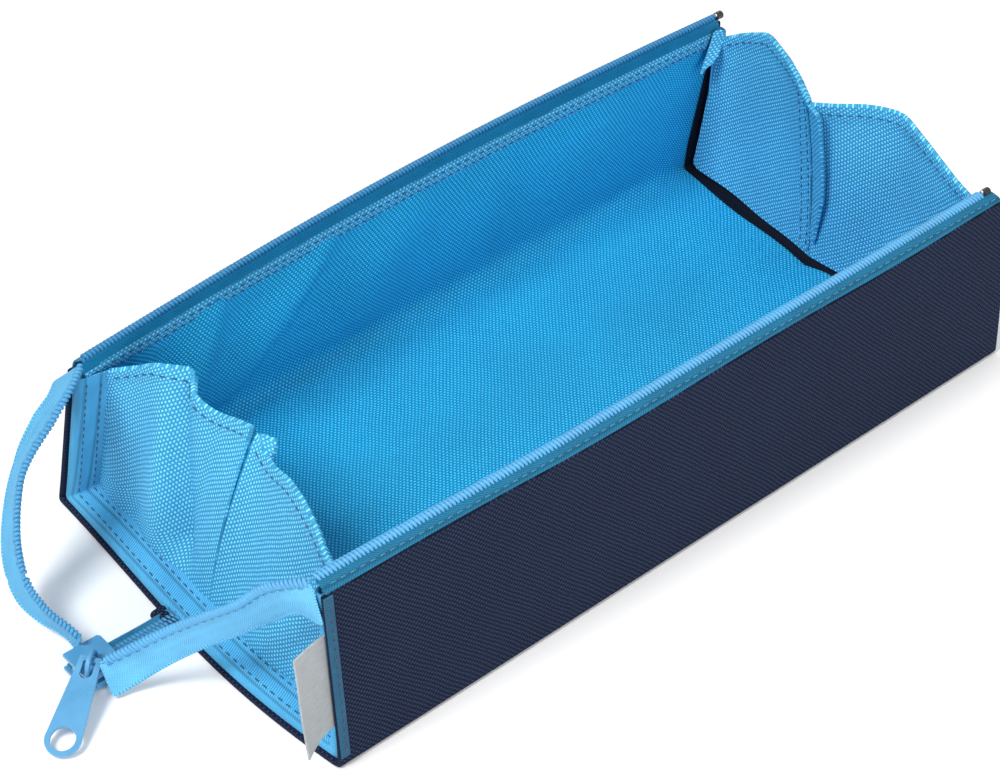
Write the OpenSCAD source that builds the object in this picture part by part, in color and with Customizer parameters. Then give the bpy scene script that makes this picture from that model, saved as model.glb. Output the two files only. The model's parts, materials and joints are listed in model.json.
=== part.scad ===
// Pencil case that opens into a tray. Two L-shaped halves share a fold along the
// middle of the bottom; the zip runs along both wall tops and on past the near end.
// X runs along the case, the near (zip tail) end at -X; Y across; Z up; millimetres.
// The origin is on the table, under the middle of the centre fold.

/* [Case] */
// Length of the case
case_len = 200; // [160:5:240]
// Width of each bottom half
half_w = 50; // [46:1:56]
// Height of each wall, measured along its slope
wall_h = 46; // [44:1:50]
// Lean of each wall towards the middle, in degrees
wall_lean = 9; // [5:0.5:11]

/* [Fabric and stiffener] */
// Thickness of the outer cloth
shell_t = 0.8; // [0.5:0.1:0.9]
// Thickness of the stiffener board
board_t = 1.6; // [1:0.1:1.8]
// Thickness of the lining cloth
lining_t = 0.6; // [0.4:0.1:0.8]

/* [End gussets] */
// Height of the inward ridge above the bottom fold
ridge_len = 49; // [40:1:50]
// How far each gusset stands in from the end of the case
end_inset = 7; // [5:0.5:9]
// Fold of each flap at rest, in degrees
flap_fold = 19; // [15:1:24]
// Half angle that each flap covers at the ridge, in degrees
flap_angle = 41.5; // [36:0.5:41.5]
// Thickness of the gusset cloth
gusset_t = 0.8; // [0.6:0.1:0.9]

/* [Zip] */
// Width of the tape that shows along each wall top
ledge_w = 4; // [3:0.5:4.5]
// Tilt of that tape away from the wall, in degrees
ledge_tilt = 50; // [40:5:60]
// Radius of the coil bead
coil_r = 0.9; // [0.7:0.1:1]
// Width of the loose tape beyond the end
tail_w = 9; // [7:0.5:9.5]

/* [Slider and pull] */
// Length of the pull tab from its pivot to its tip
pull_len = 22; // [18:1:24]
// Radius of the round hole in the pull tab
pull_hole_r = 2.7; // [2:0.1:2.8]
// Thickness of the pull tab
pull_t = 0.9; // [0.7:0.1:1]

/* [Hidden] */
$fn = 48;

navy = "#2b3154";
light_blue = "#4aa9e6";
zip_blue = "#3f9bd6";
edge_blue = "#2a6f9e";
pull_blue = "#5fb4ee";
board_grey = "#c9c7c0";
label_white = "#e9e8e6";
stop_grey = "#6d6f73";

// Layers: distance of each face from the outer face of a wall or of the bottom
board_in = shell_t;
lining_in = shell_t + board_t;
inner_face = shell_t + board_t + lining_t;

half_len = case_len / 2;
seam = 0.05;
// Each half stops short of the fold, so that the inner faces clear when it closes
front_setback = 3.2;
back_setback = 2.6;
fold_strip_t = 0.5;

// Corner where the inner faces of a wall and the bottom meet
bottom_edge = half_w - inner_face / cos(wall_lean) - inner_face * tan(wall_lean) - 0.1;

// Top inner corner of a wall, where each gusset's fold line ends
top_drop = 2;
top_w = inner_face + 0.2;
top_v = wall_h - top_drop;
top_y = half_w - top_w * cos(wall_lean) - top_v * sin(wall_lean);
top_z = top_v * cos(wall_lean) - top_w * sin(wall_lean);
fold_tilt = atan(top_y / top_z);
fold_line = sqrt(top_y * top_y + top_z * top_z);

// Lowest point of a flap along its ridge, its gap to the fold line, and its ridge trim
flap_low = 11;
flap_gap = 0.25;
ridge_trim = 0.9;

// Band of the end binding: flat on the edge, then sloping up to the gusset
band_x = end_inset + 0.4;
band_rise = 8.2;
binding_t = 0.4;
flat_top = inner_face + 0.85;

// Loose tail of the zip
chain_y = 2.5;
chain_z = 2.9;
chain_half_gap = 1.3;
tail_half_w = 5.2;
tail_half_t = 0.5;
anchor_x = -(half_len + 0.6);
anchor_depth = 2;
tail_end_x = -(half_len + 30.5);
slider_x = -(half_len + 24.6);
slider_len = 9;
slider_w = 9;
plate_t = 0.8;
channel_h = 3.1;
plate_z = chain_z + channel_h / 2;
bail_r = 2.5;
bail_wire = 0.55;
bail_leg = 0.8;
// The pull hangs over the slider's mouth and rests its tip on the table
pull_yaw = 35.5;
pull_drop = 16.3;
pull_pivot = [slider_x - 1.8, chain_y - 2, plate_z + plate_t + bail_leg + 1.1];
pull_top_w = 4.6;
pull_tip_r = 3.8;

// Route of the loose front tape, from the wall's corner to the slider's mouth
front_route = [
    [-101.2, -40.9, 43.7], [-103, -34.5, 37.8], [-105.5, -28.5, 31], [-109, -21.5, 23.8],
    [-113.2, -14.5, 16.7], [-118.5, -8.8, 10.2], [-123, -5.6, 6.2], [-126.2, -4.7, 5.3]
];
front_across = [
    [0, 0.66, 0.75], [0, 0.62, 0.78], [-0.1, 0.58, 0.8], [-0.3, 0.54, 0.78],
    [-0.38, 0.52, 0.76], [-0.3, 0.42, 0.85], [-0.1, 0.32, 0.94], [0, 0.22, 0.97]
];
// Route of the loose back tape, which hangs as an open loop down to the slider
loop_route = [
    [-101.2, 40.9, 43.7], [-107, 38.8, 42.8], [-112.5, 36.8, 39.5], [-117.5, 35.4, 34.5],
    [-121.5, 34, 28.5], [-125.5, 31.6, 21], [-128.2, 28.8, 14], [-129.9, 25.2, 9.2],
    [-130.6, 20.5, 6.4], [-129.6, 15.5, 5.3], [-127.8, 11.7, 5.2], [-126.2, 9.8, 5.2]
];
loop_across = [
    [0, -0.66, 0.75], [0.1, -0.62, 0.78], [0.2, -0.58, 0.79], [0.3, -0.52, 0.8],
    [0.4, -0.46, 0.79], [0.45, -0.4, 0.8], [0.45, -0.35, 0.82], [0.4, -0.3, 0.87],
    [0.25, -0.2, 0.95], [0.1, -0.1, 0.99], [0, -0.1, 0.99], [0, -0.1, 0.99]
];
tail_tape_t = 0.7;
tail_coil_r = 0.8;

// ---- helpers ----

// Puts a shape made in a wall's own frame (x, w inward, v up the wall) on the front wall
module on_wall() {
    translate([0, -half_w, 0]) rotate([-wall_lean, 0, 0]) children();
}

// A flat layer of the wall between two depths and two heights
module wall_layer(w0, w1, v0, v1, x_in = 0) {
    on_wall() translate([-half_len + x_in, w0, v0])
        cube([case_len - 2 * x_in, w1 - w0, v1 - v0]);
}

// A flat layer of a bottom half between two heights
module bottom_layer(z0, z1, y_out, y_in) {
    translate([-half_len, -y_out, z0]) cube([case_len, y_out - y_in, z1 - z0]);
}

module to_back() { mirror([0, 1, 0]) children(); }
module to_far() { mirror([1, 0, 0]) children(); }

// Keeps what lies on the front side of the gusset's fold line
module front_of_fold(gap) {
    intersection() {
        children();
        rotate([90, 0, 90]) translate([0, 0, -2 * case_len]) linear_extrude(4 * case_len)
            polygon([
                [-gap, 0], [-gap - fold_line * sin(fold_tilt), fold_line * cos(fold_tilt)],
                [-2 * half_w, fold_line], [-2 * half_w, -1], [-gap, -1]
            ]);
    }
}

// Section of a wall's binding at the near end: along the case, and in from the outer face
module band_section() {
    x0 = -half_len;
    polygon([
        [x0 - binding_t, 0.1], [x0, 0.1], [x0, inner_face + seam],
        [x0 + 1.7, inner_face + seam], [x0 + band_x, band_rise],
        [x0 + band_x - 1.3, band_rise], [x0 + 0.6, inner_face + 0.9],
        [x0 - binding_t, inner_face + 0.4]
    ]);
}

// A ribbon swept along a route; across gives the direction of its width at each point
function unit(v) = v / norm(v);
function heading(route, i) =
    unit(route[min(i + 1, len(route) - 1)] - route[max(i - 1, 0)]);
function square_to(v, t) = unit(v - (v * t) * t);
function smooth_at(pts, u) =
    let(last = len(pts) - 1, i = min(floor(u * last), last - 1), f = u * last - i,
        p0 = pts[max(i - 1, 0)], p1 = pts[i], p2 = pts[i + 1], p3 = pts[min(i + 2, last)])
    0.5 * (2 * p1 + (p2 - p0) * f + (2 * p0 - 5 * p1 + 4 * p2 - p3) * f * f
        + (3 * p1 - p0 - 3 * p2 + p3) * f * f * f);
function smooth_route(pts, steps) = [for (i = [0 : steps]) smooth_at(pts, i / steps)];

module sweep(route, across, section) {
    n = len(route);
    m = len(section);
    rings = [
        for (i = [0 : n - 1])
            let(t = heading(route, i), a = square_to(across[i], t), b = cross(t, a))
            for (s = section) route[i] + s[0] * a + s[1] * b
    ];
    sides = [
        for (i = [0 : n - 2]) for (j = [0 : m - 1])
            let(k = (j + 1) % m)
            each [
                [i * m + j, (i + 1) * m + k, (i + 1) * m + j],
                [i * m + j, i * m + k, (i + 1) * m + k]
            ]
    ];
    near_cap = [for (j = [0 : m - 1]) m - 1 - j];
    far_cap = [for (j = [0 : m - 1]) (n - 1) * m + j];
    polyhedron(rings, concat(sides, [near_cap], [far_cap]), convexity = 8);
}

tape_section = [
    [-tail_w / 2, -tail_tape_t / 2], [tail_w / 2, -tail_tape_t / 2],
    [tail_w / 2, tail_tape_t / 2], [-tail_w / 2, tail_tape_t / 2]
];
coil_section = [
    for (j = [0 : 7])
        [tail_w / 2 + tail_coil_r + seam, 0] + tail_coil_r * [cos(45 * j), sin(45 * j)]
];
tail_steps = 24;

// ---- pieces of a half, all drawn for the front half ----

module wall_shell() { wall_layer(0, shell_t, shell_t + 0.15, wall_h + 0.4); }
module wall_board() { wall_layer(board_in, lining_in, shell_t + 0.6, wall_h - 0.7, 0.5); }
module wall_lining() { wall_layer(lining_in, inner_face, shell_t + 0.7, wall_h - 0.4); }

module bottom_shell(setback) { bottom_layer(0, shell_t, half_w, setback); }
module bottom_board(setback) {
    bottom_layer(board_in, lining_in, bottom_edge, setback + 0.2);
}
module bottom_lining(setback) { bottom_layer(lining_in, inner_face, bottom_edge, setback); }

// Frame of the tape that leans in from the top of the wall: y across it, z out of it
module at_ledge() {
    on_wall() translate([0, shell_t + 0.2, wall_h + 0.1]) rotate([90 - ledge_tilt, 0, 0])
        children();
}
module zip_tape() {
    tape_t = 0.6;
    at_ledge() translate([-half_len, 0, -tape_t]) cube([case_len, ledge_w, tape_t]);
}

// Centre line of the coil bead, just past the tape's free edge
module at_coil() {
    at_ledge() translate([0, ledge_w + coil_r + seam, -0.3]) children();
}
stop_len = 2.2;
module zip_coil() {
    at_coil() translate([-half_len, 0, 0]) rotate([0, 90, 0])
        cylinder(h = case_len - stop_len - 0.4, r = coil_r);
}
module top_stop() {
    at_coil() translate([half_len - stop_len - 0.4, -coil_r, -coil_r])
        cube([stop_len, 2 * coil_r, 2 * coil_r]);
}

// Binding of the bottom: over the edge of the case, then flat on the lining
module bottom_binding() {
    front_of_fold(0.3) {
        translate([-half_len - binding_t, -half_w + 0.1, 0.1])
            cube([binding_t, half_w, flat_top - 0.1]);
        translate([-half_len, -bottom_edge, inner_face + seam])
            cube([end_inset + 0.4, bottom_edge, flat_top - inner_face - seam]);
    }
}
// Binding of the wall: over its edge, then standing off towards the gusset
module wall_binding() {
    front_of_fold(0.3) intersection() {
        on_wall() linear_extrude(top_v) band_section();
        translate([-case_len, -2 * half_w, flat_top + seam]) cube([2 * case_len, 2 * half_w, wall_h]);
    }
}

// Fixed triangle of the gusset, between the bands and the fold line
module end_panel() {
    front_of_fold(0.3) intersection() {
        translate([-half_len + end_inset, -half_w, flat_top + seam]) cube([gusset_t, half_w, wall_h]);
        on_wall() translate([-half_len, band_rise + seam, 0]) cube([case_len, 2 * half_w, top_v]);
    }
}

// Frame of a flap at the near end: x across from its fold line, y up the line, z inward
module flap_frame() {
    translate([-half_len + end_inset + gusset_t, 0, 0]) rotate([fold_tilt, 0, 0])
        rotate([90, 0, 90]) rotate([0, -flap_fold, 0]) children();
}
// The ridge edge is cut back, so that the two flaps clear each other as they fold
function on_ridge(d) =
    d * [sin(flap_angle), cos(flap_angle)] - ridge_trim * [cos(flap_angle), -sin(flap_angle)];
module flap() {
    flap_frame() translate([0, 0, -gusset_t]) linear_extrude(gusset_t) polygon([
        [flap_gap, flap_low - 1], [flap_gap, fold_line - 1.2], on_ridge(ridge_len),
        on_ridge(flap_low)
    ]);
}
// Seam end that stands in from the top of the ridge
module ridge_tab() {
    tab_l = 6;
    tab_h = 5;
    flap_frame() rotate([0, 0, -flap_angle])
        translate([-ridge_trim - 1.4, ridge_len - tab_h - 0.5, seam]) cube([1.2, tab_h, tab_l]);
}

// ---- loose pieces ----

module fold_strip() {
    translate([-half_len, -front_setback, 0])
        cube([case_len, front_setback + back_setback - 0.4, fold_strip_t]);
}

module side_label() {
    label_w = 8;
    label_h = 26;
    on_wall() translate([-half_len - binding_t - label_w, 1, 10.5])
        cube([label_w, 0.7, label_h]);
}
module care_label() {
    on_wall() translate([-half_len + 12, inner_face + seam, wall_h - 14])
        cube([14, 0.5, 12]);
}

module tail_anchor() {
    y0 = chain_y - tail_half_w - 2;
    translate([anchor_x - anchor_depth, y0, 0.4]) cube([anchor_depth, 2 * tail_half_w + 4, 3.8]);
    translate([anchor_x, y0, 0.4]) cube([0.6 - binding_t, 4.5, 2.8]);
}
module tail_half() {
    translate([tail_end_x, chain_half_gap, -tail_half_t / 2])
        cube([anchor_x - anchor_depth - tail_end_x, tail_half_w - chain_half_gap, tail_half_t]);
}
module at_chain() { translate([0, chain_y, chain_z]) children(); }
module tail_chain() {
    start = slider_x - 0.5;
    at_chain() translate([start, -chain_half_gap + seam, -0.9])
        cube([anchor_x - anchor_depth - start, 2 * (chain_half_gap - seam), 1.8]);
}

module loose_tape(route, across, section) {
    sweep(smooth_route(route, tail_steps), smooth_route(across, tail_steps), section);
}

module slider_body() {
    lip = 0.8;
    lip_h = 0.9;
    wedge_l = 2.6;
    at_chain() translate([slider_x, 0, 0]) {
        for (s = [-1, 1]) {
            intersection() {
                translate([-slider_len / 2, -slider_w / 2, s > 0 ? channel_h / 2 : -channel_h / 2 - plate_t])
                    cube([slider_len, slider_w, plate_t]);
                translate([-slider_len / 2 + 4.2, 0, -4]) cylinder(h = 8, r = 6.2);
            }
            for (side = [-1, 1])
                translate([-slider_len / 2 + 2, side * (slider_w - lip) / 2 - lip / 2,
                    s > 0 ? channel_h / 2 - lip_h : -channel_h / 2])
                    cube([slider_len - 4, lip, lip_h]);
        }
        translate([-slider_len / 2, -1.1, -channel_h / 2]) cube([wedge_l, 2.2, channel_h]);
    }
}
module slider_bail() {
    translate([pull_pivot[0], pull_pivot[1], plate_z + plate_t]) rotate([0, 0, pull_yaw]) {
        translate([0, 0, bail_leg]) rotate([90, 0, 0])
            rotate_extrude(angle = 180) translate([bail_r, 0]) circle(r = bail_wire, $fn = 24);
        for (s = [-1, 1]) translate([s * bail_r, 0, 0]) cylinder(h = bail_leg, r = bail_wire, $fn = 24);
    }
}
// Flat tab with a round hole for a charm near its tip and a slot for the bail
module pull_tab() {
    slot_w = 2.6;
    tip = pull_len - pull_tip_r;
    translate(pull_pivot) rotate([0, 0, pull_yaw]) rotate([0, -pull_drop, 0])
        mirror([1, 0, 0]) translate([0, 0, -pull_t / 2]) difference() {
            linear_extrude(pull_t) union() {
                polygon([
                    [-0.55, -pull_top_w / 2], [tip - 0.8, -pull_tip_r + 0.08],
                    [tip - 0.8, pull_tip_r - 0.08], [-0.55, pull_top_w / 2]
                ]);
                translate([tip, 0]) circle(r = pull_tip_r);
            }
            translate([tip, 0, -1]) cylinder(h = pull_t + 2, r = pull_hole_r);
            translate([0.55, -slot_w / 2, -1]) cube([2.6, slot_w, pull_t + 2]);
            translate([3.15, 0, -1]) cylinder(h = pull_t + 2, r = slot_w / 2);
        }
}

// ---- nodes ----

color(navy) wall_shell();  // front_wall_shell
color(board_grey) wall_board();  // front_wall_board
color(light_blue) wall_lining();  // front_wall_lining
color(navy) bottom_shell(front_setback);  // front_bottom_shell
color(board_grey) bottom_board(front_setback);  // front_bottom_board
color(light_blue) bottom_lining(front_setback);  // front_bottom_lining
color(navy) fold_strip();
color(edge_blue) zip_tape();  // front_zip_tape
color(zip_blue) zip_coil();  // front_zip_coil
color(stop_grey) top_stop();  // front_top_stop
color(light_blue) bottom_binding();  // near_front_bottom_binding
color(light_blue) wall_binding();  // near_front_wall_binding
color(light_blue) to_far() bottom_binding();  // far_front_bottom_binding
color(light_blue) to_far() wall_binding();  // far_front_wall_binding
color(light_blue) end_panel();  // near_front_end_panel
color(light_blue) to_far() end_panel();  // far_front_end_panel
color(label_white) side_label();
color(label_white) care_label();
color(navy) tail_anchor();
color(zip_blue) at_chain() mirror([0, 1, 0]) tail_half();  // tail_front_half
color(zip_blue) at_chain() tail_half();  // tail_back_half
color(zip_blue) tail_chain();
color(zip_blue) loose_tape(front_route, front_across, tape_section);  // tail_front_tape
color(zip_blue) loose_tape(front_route, front_across, coil_section);  // tail_front_coil
color(zip_blue) loose_tape(loop_route, loop_across, tape_section);  // loop_tape
color(zip_blue) loose_tape(loop_route, loop_across, coil_section);  // loop_coil
color(navy) to_back() wall_shell();  // back_wall_shell
color(board_grey) to_back() wall_board();  // back_wall_board
color(light_blue) to_back() wall_lining();  // back_wall_lining
color(navy) to_back() bottom_shell(back_setback);  // back_bottom_shell
color(board_grey) to_back() bottom_board(back_setback);  // back_bottom_board
color(light_blue) to_back() bottom_lining(back_setback);  // back_bottom_lining
color(edge_blue) to_back() zip_tape();  // back_zip_tape
color(zip_blue) to_back() zip_coil();  // back_zip_coil
color(stop_grey) to_back() top_stop();  // back_top_stop
color(light_blue) to_back() bottom_binding();  // near_back_bottom_binding
color(light_blue) to_back() wall_binding();  // near_back_wall_binding
color(light_blue) to_back() to_far() bottom_binding();  // far_back_bottom_binding
color(light_blue) to_back() to_far() wall_binding();  // far_back_wall_binding
color(light_blue) to_back() end_panel();  // near_back_end_panel
color(light_blue) to_back() to_far() end_panel();  // far_back_end_panel
color(light_blue) flap();  // near_front_flap
color(light_blue) to_back() flap();  // near_back_flap
color(light_blue) to_far() flap();  // far_front_flap
color(light_blue) to_back() to_far() flap();  // far_back_flap
color(light_blue) ridge_tab();  // near_ridge_tab
color(light_blue) to_far() ridge_tab();  // far_ridge_tab
color(pull_blue) slider_body();
color(pull_blue) slider_bail();
color(pull_blue) pull_tab();
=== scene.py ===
"""Looks of a pencil case that opens into a tray: cloth, zip, slider and stitching.

The case's sizes are in millimetres until a mesh is made; the camera's and lights' are in
metres. X runs along the case with the zip's tail at -X, Y runs across it, and Z is up. The
front wall is at -Y and the back one at +Y.
"""

import json
import math

import bmesh
import bpy
import numpy as np
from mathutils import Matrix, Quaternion, Vector


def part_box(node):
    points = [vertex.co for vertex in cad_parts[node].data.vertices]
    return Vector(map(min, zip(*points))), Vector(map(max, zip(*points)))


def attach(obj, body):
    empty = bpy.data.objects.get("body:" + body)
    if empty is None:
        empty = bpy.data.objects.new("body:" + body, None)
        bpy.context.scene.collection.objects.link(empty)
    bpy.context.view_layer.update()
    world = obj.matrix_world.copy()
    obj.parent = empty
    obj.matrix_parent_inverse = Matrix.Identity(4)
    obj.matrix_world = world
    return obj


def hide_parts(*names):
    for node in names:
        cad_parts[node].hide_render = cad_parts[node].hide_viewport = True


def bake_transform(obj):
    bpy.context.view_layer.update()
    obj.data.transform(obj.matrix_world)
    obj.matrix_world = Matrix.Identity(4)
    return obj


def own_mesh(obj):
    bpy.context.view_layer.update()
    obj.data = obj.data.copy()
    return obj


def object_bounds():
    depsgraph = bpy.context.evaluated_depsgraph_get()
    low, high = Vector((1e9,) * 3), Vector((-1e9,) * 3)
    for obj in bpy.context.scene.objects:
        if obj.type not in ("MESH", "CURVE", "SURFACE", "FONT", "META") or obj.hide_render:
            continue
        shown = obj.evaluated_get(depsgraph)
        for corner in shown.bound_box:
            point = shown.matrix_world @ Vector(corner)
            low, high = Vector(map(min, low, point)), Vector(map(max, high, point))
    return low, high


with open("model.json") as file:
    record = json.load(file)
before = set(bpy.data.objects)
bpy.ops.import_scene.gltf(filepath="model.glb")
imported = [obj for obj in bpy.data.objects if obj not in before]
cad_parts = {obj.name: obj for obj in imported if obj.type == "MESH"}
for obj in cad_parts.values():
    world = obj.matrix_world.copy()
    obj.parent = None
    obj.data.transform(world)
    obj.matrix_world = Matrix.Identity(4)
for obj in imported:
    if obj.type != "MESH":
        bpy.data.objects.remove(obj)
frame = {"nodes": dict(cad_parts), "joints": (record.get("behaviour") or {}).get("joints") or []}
cad_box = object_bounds()

MM = 0.001
FRONT, BACK = -1, 1
NEAR, FAR = -1, 1
SIDE_NAME = {FRONT: "front", BACK: "back"}
END_NAME = {NEAR: "near", FAR: "far"}
scene = bpy.context.scene

# ---------------- camera, floor, light

CAMERA_AT = Vector((-0.3122, -0.3138, 0.4080))
LOOK_AT = Vector((0.0154, 0.0326, -0.0209))
CAMERA_ROLL = 0.051
LENS = 93.5


def make_camera():
    data = bpy.data.cameras.new("camera")
    data.lens = LENS
    data.sensor_width = 36
    data.clip_start = 0.01
    camera = bpy.data.objects.new("camera", data)
    scene.collection.objects.link(camera)
    camera.location = CAMERA_AT
    level = (LOOK_AT - CAMERA_AT).to_track_quat("-Z", "Y")
    camera.rotation_euler = (level @ Quaternion((0, 0, 1), CAMERA_ROLL)).to_euler()
    scene.camera = camera


def make_light(name, at, size, watts):
    """A square lamp that looks at the frame's origin."""
    data = bpy.data.lights.new(name, "AREA")
    data.size = size
    data.energy = watts
    light = bpy.data.objects.new(name, data)
    scene.collection.objects.link(light)
    light.location = at
    light.rotation_euler = (-Vector(at)).to_track_quat("-Z", "Y").to_euler()


def make_studio():
    scene.view_settings.view_transform = "Standard"
    world = bpy.data.worlds.new("studio")
    scene.world = world
    world.use_nodes = True
    background = world.node_tree.nodes["Background"]
    background.inputs["Color"].default_value = (1, 1, 1, 1)
    background.inputs["Strength"].default_value = 0.52
    make_light("key", (-0.8, 0.05, 1.1), 0.4, 15.5)
    make_light("fill", (-0.25, -1.2, 0.6), 0.8, 10)
    make_light("rim", (0.6, 0.9, 0.8), 0.6, 3)


make_camera()
make_studio()

# ---------------- sizes

bottom_low, bottom_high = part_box("front_bottom_shell")
shell_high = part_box("front_wall_shell")[1]
HALF_LEN = bottom_high.x / MM
HALF_W = -bottom_low.y / MM
CLOTH_T = bottom_high.z / MM
LINING_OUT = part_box("front_bottom_lining")[0].z / MM
LINING_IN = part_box("front_bottom_lining")[1].z / MM
# Leans towards the middle, in degrees
CAD_LEAN = 9.0
FRONT_LEAN_FAR = 5.0
FRONT_TWIST = 2.3
BACK_LEAN_NEAR = 11.0
BACK_LEAN_FAR = 3.5
BACK_SWELL = 4.0
WALL_TOP = (shell_high.z / MM) / math.cos(math.radians(CAD_LEAN))
# How far to either side of the fold the cloth bends
FOLD_REACH = 7.0
# The walls' far ends slope back from this X on
FAR_SLOPE_FROM = 60.0
FAR_END_SLOPE = 3.4
CLOTH_TOP = WALL_TOP - 0.9
UP = np.array([0, 0, 1.0])

BAND_IN = 6.6
BAND_DEPTH = 5.2
BAND_TOP = WALL_TOP - 1.6
BAND_T = 0.45
CLOTH_PROUD = 0.9
GUSSET_T = 0.7
STITCH_R = 0.19
FAR_INSET = 9.4
# Points along the bottom, the corner and the wall of a line round an end
END_COUNTS = (34, 5, 30)

# ---------------- mesh helpers


def build(name, verts, faces, material, cloth=None, crease=42):
    """A mesh object from points in millimetres; cloth holds each point's place on the flat cloth."""
    mesh = bpy.data.meshes.new(name)
    mesh.from_pydata((np.asarray(verts, float) * MM).tolist(), [], faces)
    if cloth is not None:
        flat = mesh.attributes.new("cloth", "FLOAT_VECTOR", "POINT")
        flat.data.foreach_set("vector", np.asarray(cloth, np.float32).ravel())
    made = bmesh.new()
    made.from_mesh(mesh)
    bmesh.ops.recalc_face_normals(made, faces=made.faces)
    made.to_mesh(mesh)
    made.free()
    mesh.shade_smooth()
    mesh.set_sharp_from_angle(angle=math.radians(crease))
    mesh.materials.append(material)
    obj = bpy.data.objects.new(name, mesh)
    scene.collection.objects.link(obj)
    return obj


def unit(v):
    return v / np.maximum(np.linalg.norm(v, axis=-1, keepdims=True), 1e-9)


def normals_of(grid):
    return unit(np.cross(np.gradient(grid, axis=0), np.gradient(grid, axis=1)))


def steps(points):
    """Distance along a line of points, from its first one."""
    return np.concatenate([[0], np.cumsum(np.linalg.norm(np.diff(points, axis=0), axis=1))])


def flat_places(grid):
    """Where each point of a grid lies on the flat cloth, measured along the grid's own lines."""
    rows = np.array([steps(row) for row in grid])
    columns = np.array([steps(column) for column in grid.transpose(1, 0, 2)]).T
    return np.stack([rows, columns, np.zeros_like(rows)], axis=-1)


def slab(name, front, back, material):
    """A closed sheet between two grids of points, with a rounded rim."""
    n, m = front.shape[:2]
    index = np.arange(n * m).reshape(n, m)
    rim = np.concatenate([index[0, :], index[1:, -1], index[-1, -2::-1], index[-2:0:-1, 0]])
    inner = np.concatenate([index[1, :], index[1:, -2], index[-2, -2::-1], index[-2:0:-1, 1]])
    a, b, c = front.reshape(-1, 3), back.reshape(-1, 3), flat_places(front).reshape(-1, 3)
    middle = (a[rim] + b[rim]) / 2
    half = np.linalg.norm(a[rim] - b[rim], axis=1, keepdims=True) / 2
    outward = unit(middle - (a[inner] + b[inner]) / 2)
    verts = np.concatenate([a, b, middle + 0.8 * half * outward])
    low, high = index[:-1, :-1].ravel(), index[1:, 1:].ravel()
    quads = np.stack([low, index[1:, :-1].ravel(), high, index[:-1, 1:].ravel()], axis=1)
    faces = quads.tolist() + (quads[:, ::-1] + n * m).tolist()
    after = np.roll(rim, -1)
    k = np.arange(len(rim)) + 2 * n * m
    k_after = np.roll(k, -1)
    faces += np.stack([rim, after, k_after, k], axis=1).tolist()
    faces += np.stack([k, k_after, after + n * m, rim + n * m], axis=1).tolist()
    return build(name, verts, faces, material, np.concatenate([c, c, c[rim]]))


def sheet(name, grid, thickness, material):
    """A sheet of cloth around a grid of points; thickness is a number or a grid of them."""
    lift = normals_of(grid) * np.asarray(thickness, float)[..., None] / 2
    return slab(name, grid + lift, grid - lift, material)


def curve_through(points, count):
    """Points spread evenly by length on a smooth curve through the given ones."""
    p = np.asarray(points, float)
    p = np.concatenate([[2 * p[0] - p[1]], p, [2 * p[-1] - p[-2]]])
    fine = []
    for i in range(1, len(p) - 2):
        f = np.linspace(0, 1, 12, endpoint=i == len(p) - 3)[:, None]
        fine.append(0.5 * (2 * p[i] + (p[i + 1] - p[i - 1]) * f
                           + (2 * p[i - 1] - 5 * p[i] + 4 * p[i + 1] - p[i + 2]) * f ** 2
                           + (3 * p[i] - p[i - 1] - 3 * p[i + 1] + p[i + 2]) * f ** 3))
    return resample(np.concatenate(fine), count)


def between(at, along, line):
    """Values of a line's points at new places along it."""
    return np.stack([np.interp(at, along, column) for column in line.T], axis=1)


def resample(line, count):
    along = steps(line)
    return between(np.linspace(0, along[-1], count), along, line)


def tubes(name, lines, lifts, radius, material, sides=6):
    """Round threads or wires along lines of points; lifts point away from what they lie on."""
    verts, faces, cloth = [], [], []
    angle = np.arange(sides) * 2 * math.pi / sides
    for line, lift in zip(lines, lifts):
        ahead = unit(np.gradient(line, axis=0))
        across = unit(np.cross(ahead, lift))
        up = np.cross(across, ahead)
        n, start = len(line), sum(len(v) for v in verts)
        ring = (np.cos(angle)[None, :, None] * across[:, None, :]
                + np.sin(angle)[None, :, None] * up[:, None, :])
        r = np.full(n, radius)
        r[[0, -1]] *= 0.55
        verts.append((line[:, None, :] + ring * r[:, None, None]).reshape(-1, 3))
        turn = np.stack(np.broadcast_arrays(steps(line)[:, None], angle[None, :] * radius, 0.0), -1)
        cloth.append(turn.reshape(-1, 3))
        i, j = np.meshgrid(np.arange(n - 1), np.arange(sides), indexing="ij")
        k = (j + 1) % sides
        quads = np.stack([i * sides + j, i * sides + k, (i + 1) * sides + k, (i + 1) * sides + j], -1)
        faces += (quads.reshape(-1, 4) + start).tolist()
        faces.append([start + q for q in range(sides)][::-1])
        faces.append([start + (n - 1) * sides + q for q in range(sides)])
    return build(name, np.concatenate(verts), faces, material, np.concatenate(cloth), crease=60)


def row_of(grid, share):
    """The line of points at a share of the way across a grid's first axis, with its normals."""
    at = share * (len(grid) - 1)
    i = min(int(at), len(grid) - 2)
    f = at - i
    normals = normals_of(grid)
    return grid[i] * (1 - f) + grid[i + 1] * f, unit(normals[i] * (1 - f) + normals[i + 1] * f)


def seam_row(grid, share, height, towards):
    """A row of stitches across a grid, on the face that looks towards a direction."""
    points, lift = row_of(grid, share)
    return points, lift * np.sign(lift[len(lift) // 2] @ np.asarray(towards, float)), height


def stitching(name, rows, material, pitch=2.4, length=1.75, margin=1.5):
    """The stitches of several rows as one mesh; a row is a line, its lift and its height.
    Each stitch arches along its line, and its ends dip into the cloth."""
    lines, lifts = [], []
    for line, lift, height in rows:
        along = steps(line)
        arch = height + np.array([-2.2, -0.2, 0.35, 0.35, -0.2, -2.2]) * STITCH_R
        for start in np.arange(margin, along[-1] - length - margin / 2, pitch):
            at = start + np.linspace(0, length, len(arch))
            up = unit(between(at, along, lift))
            lines.append(between(at, along, line) + up * arch[:, None])
            lifts.append(up)
    return tubes(name, lines, lifts, STITCH_R, material, sides=5)


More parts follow.
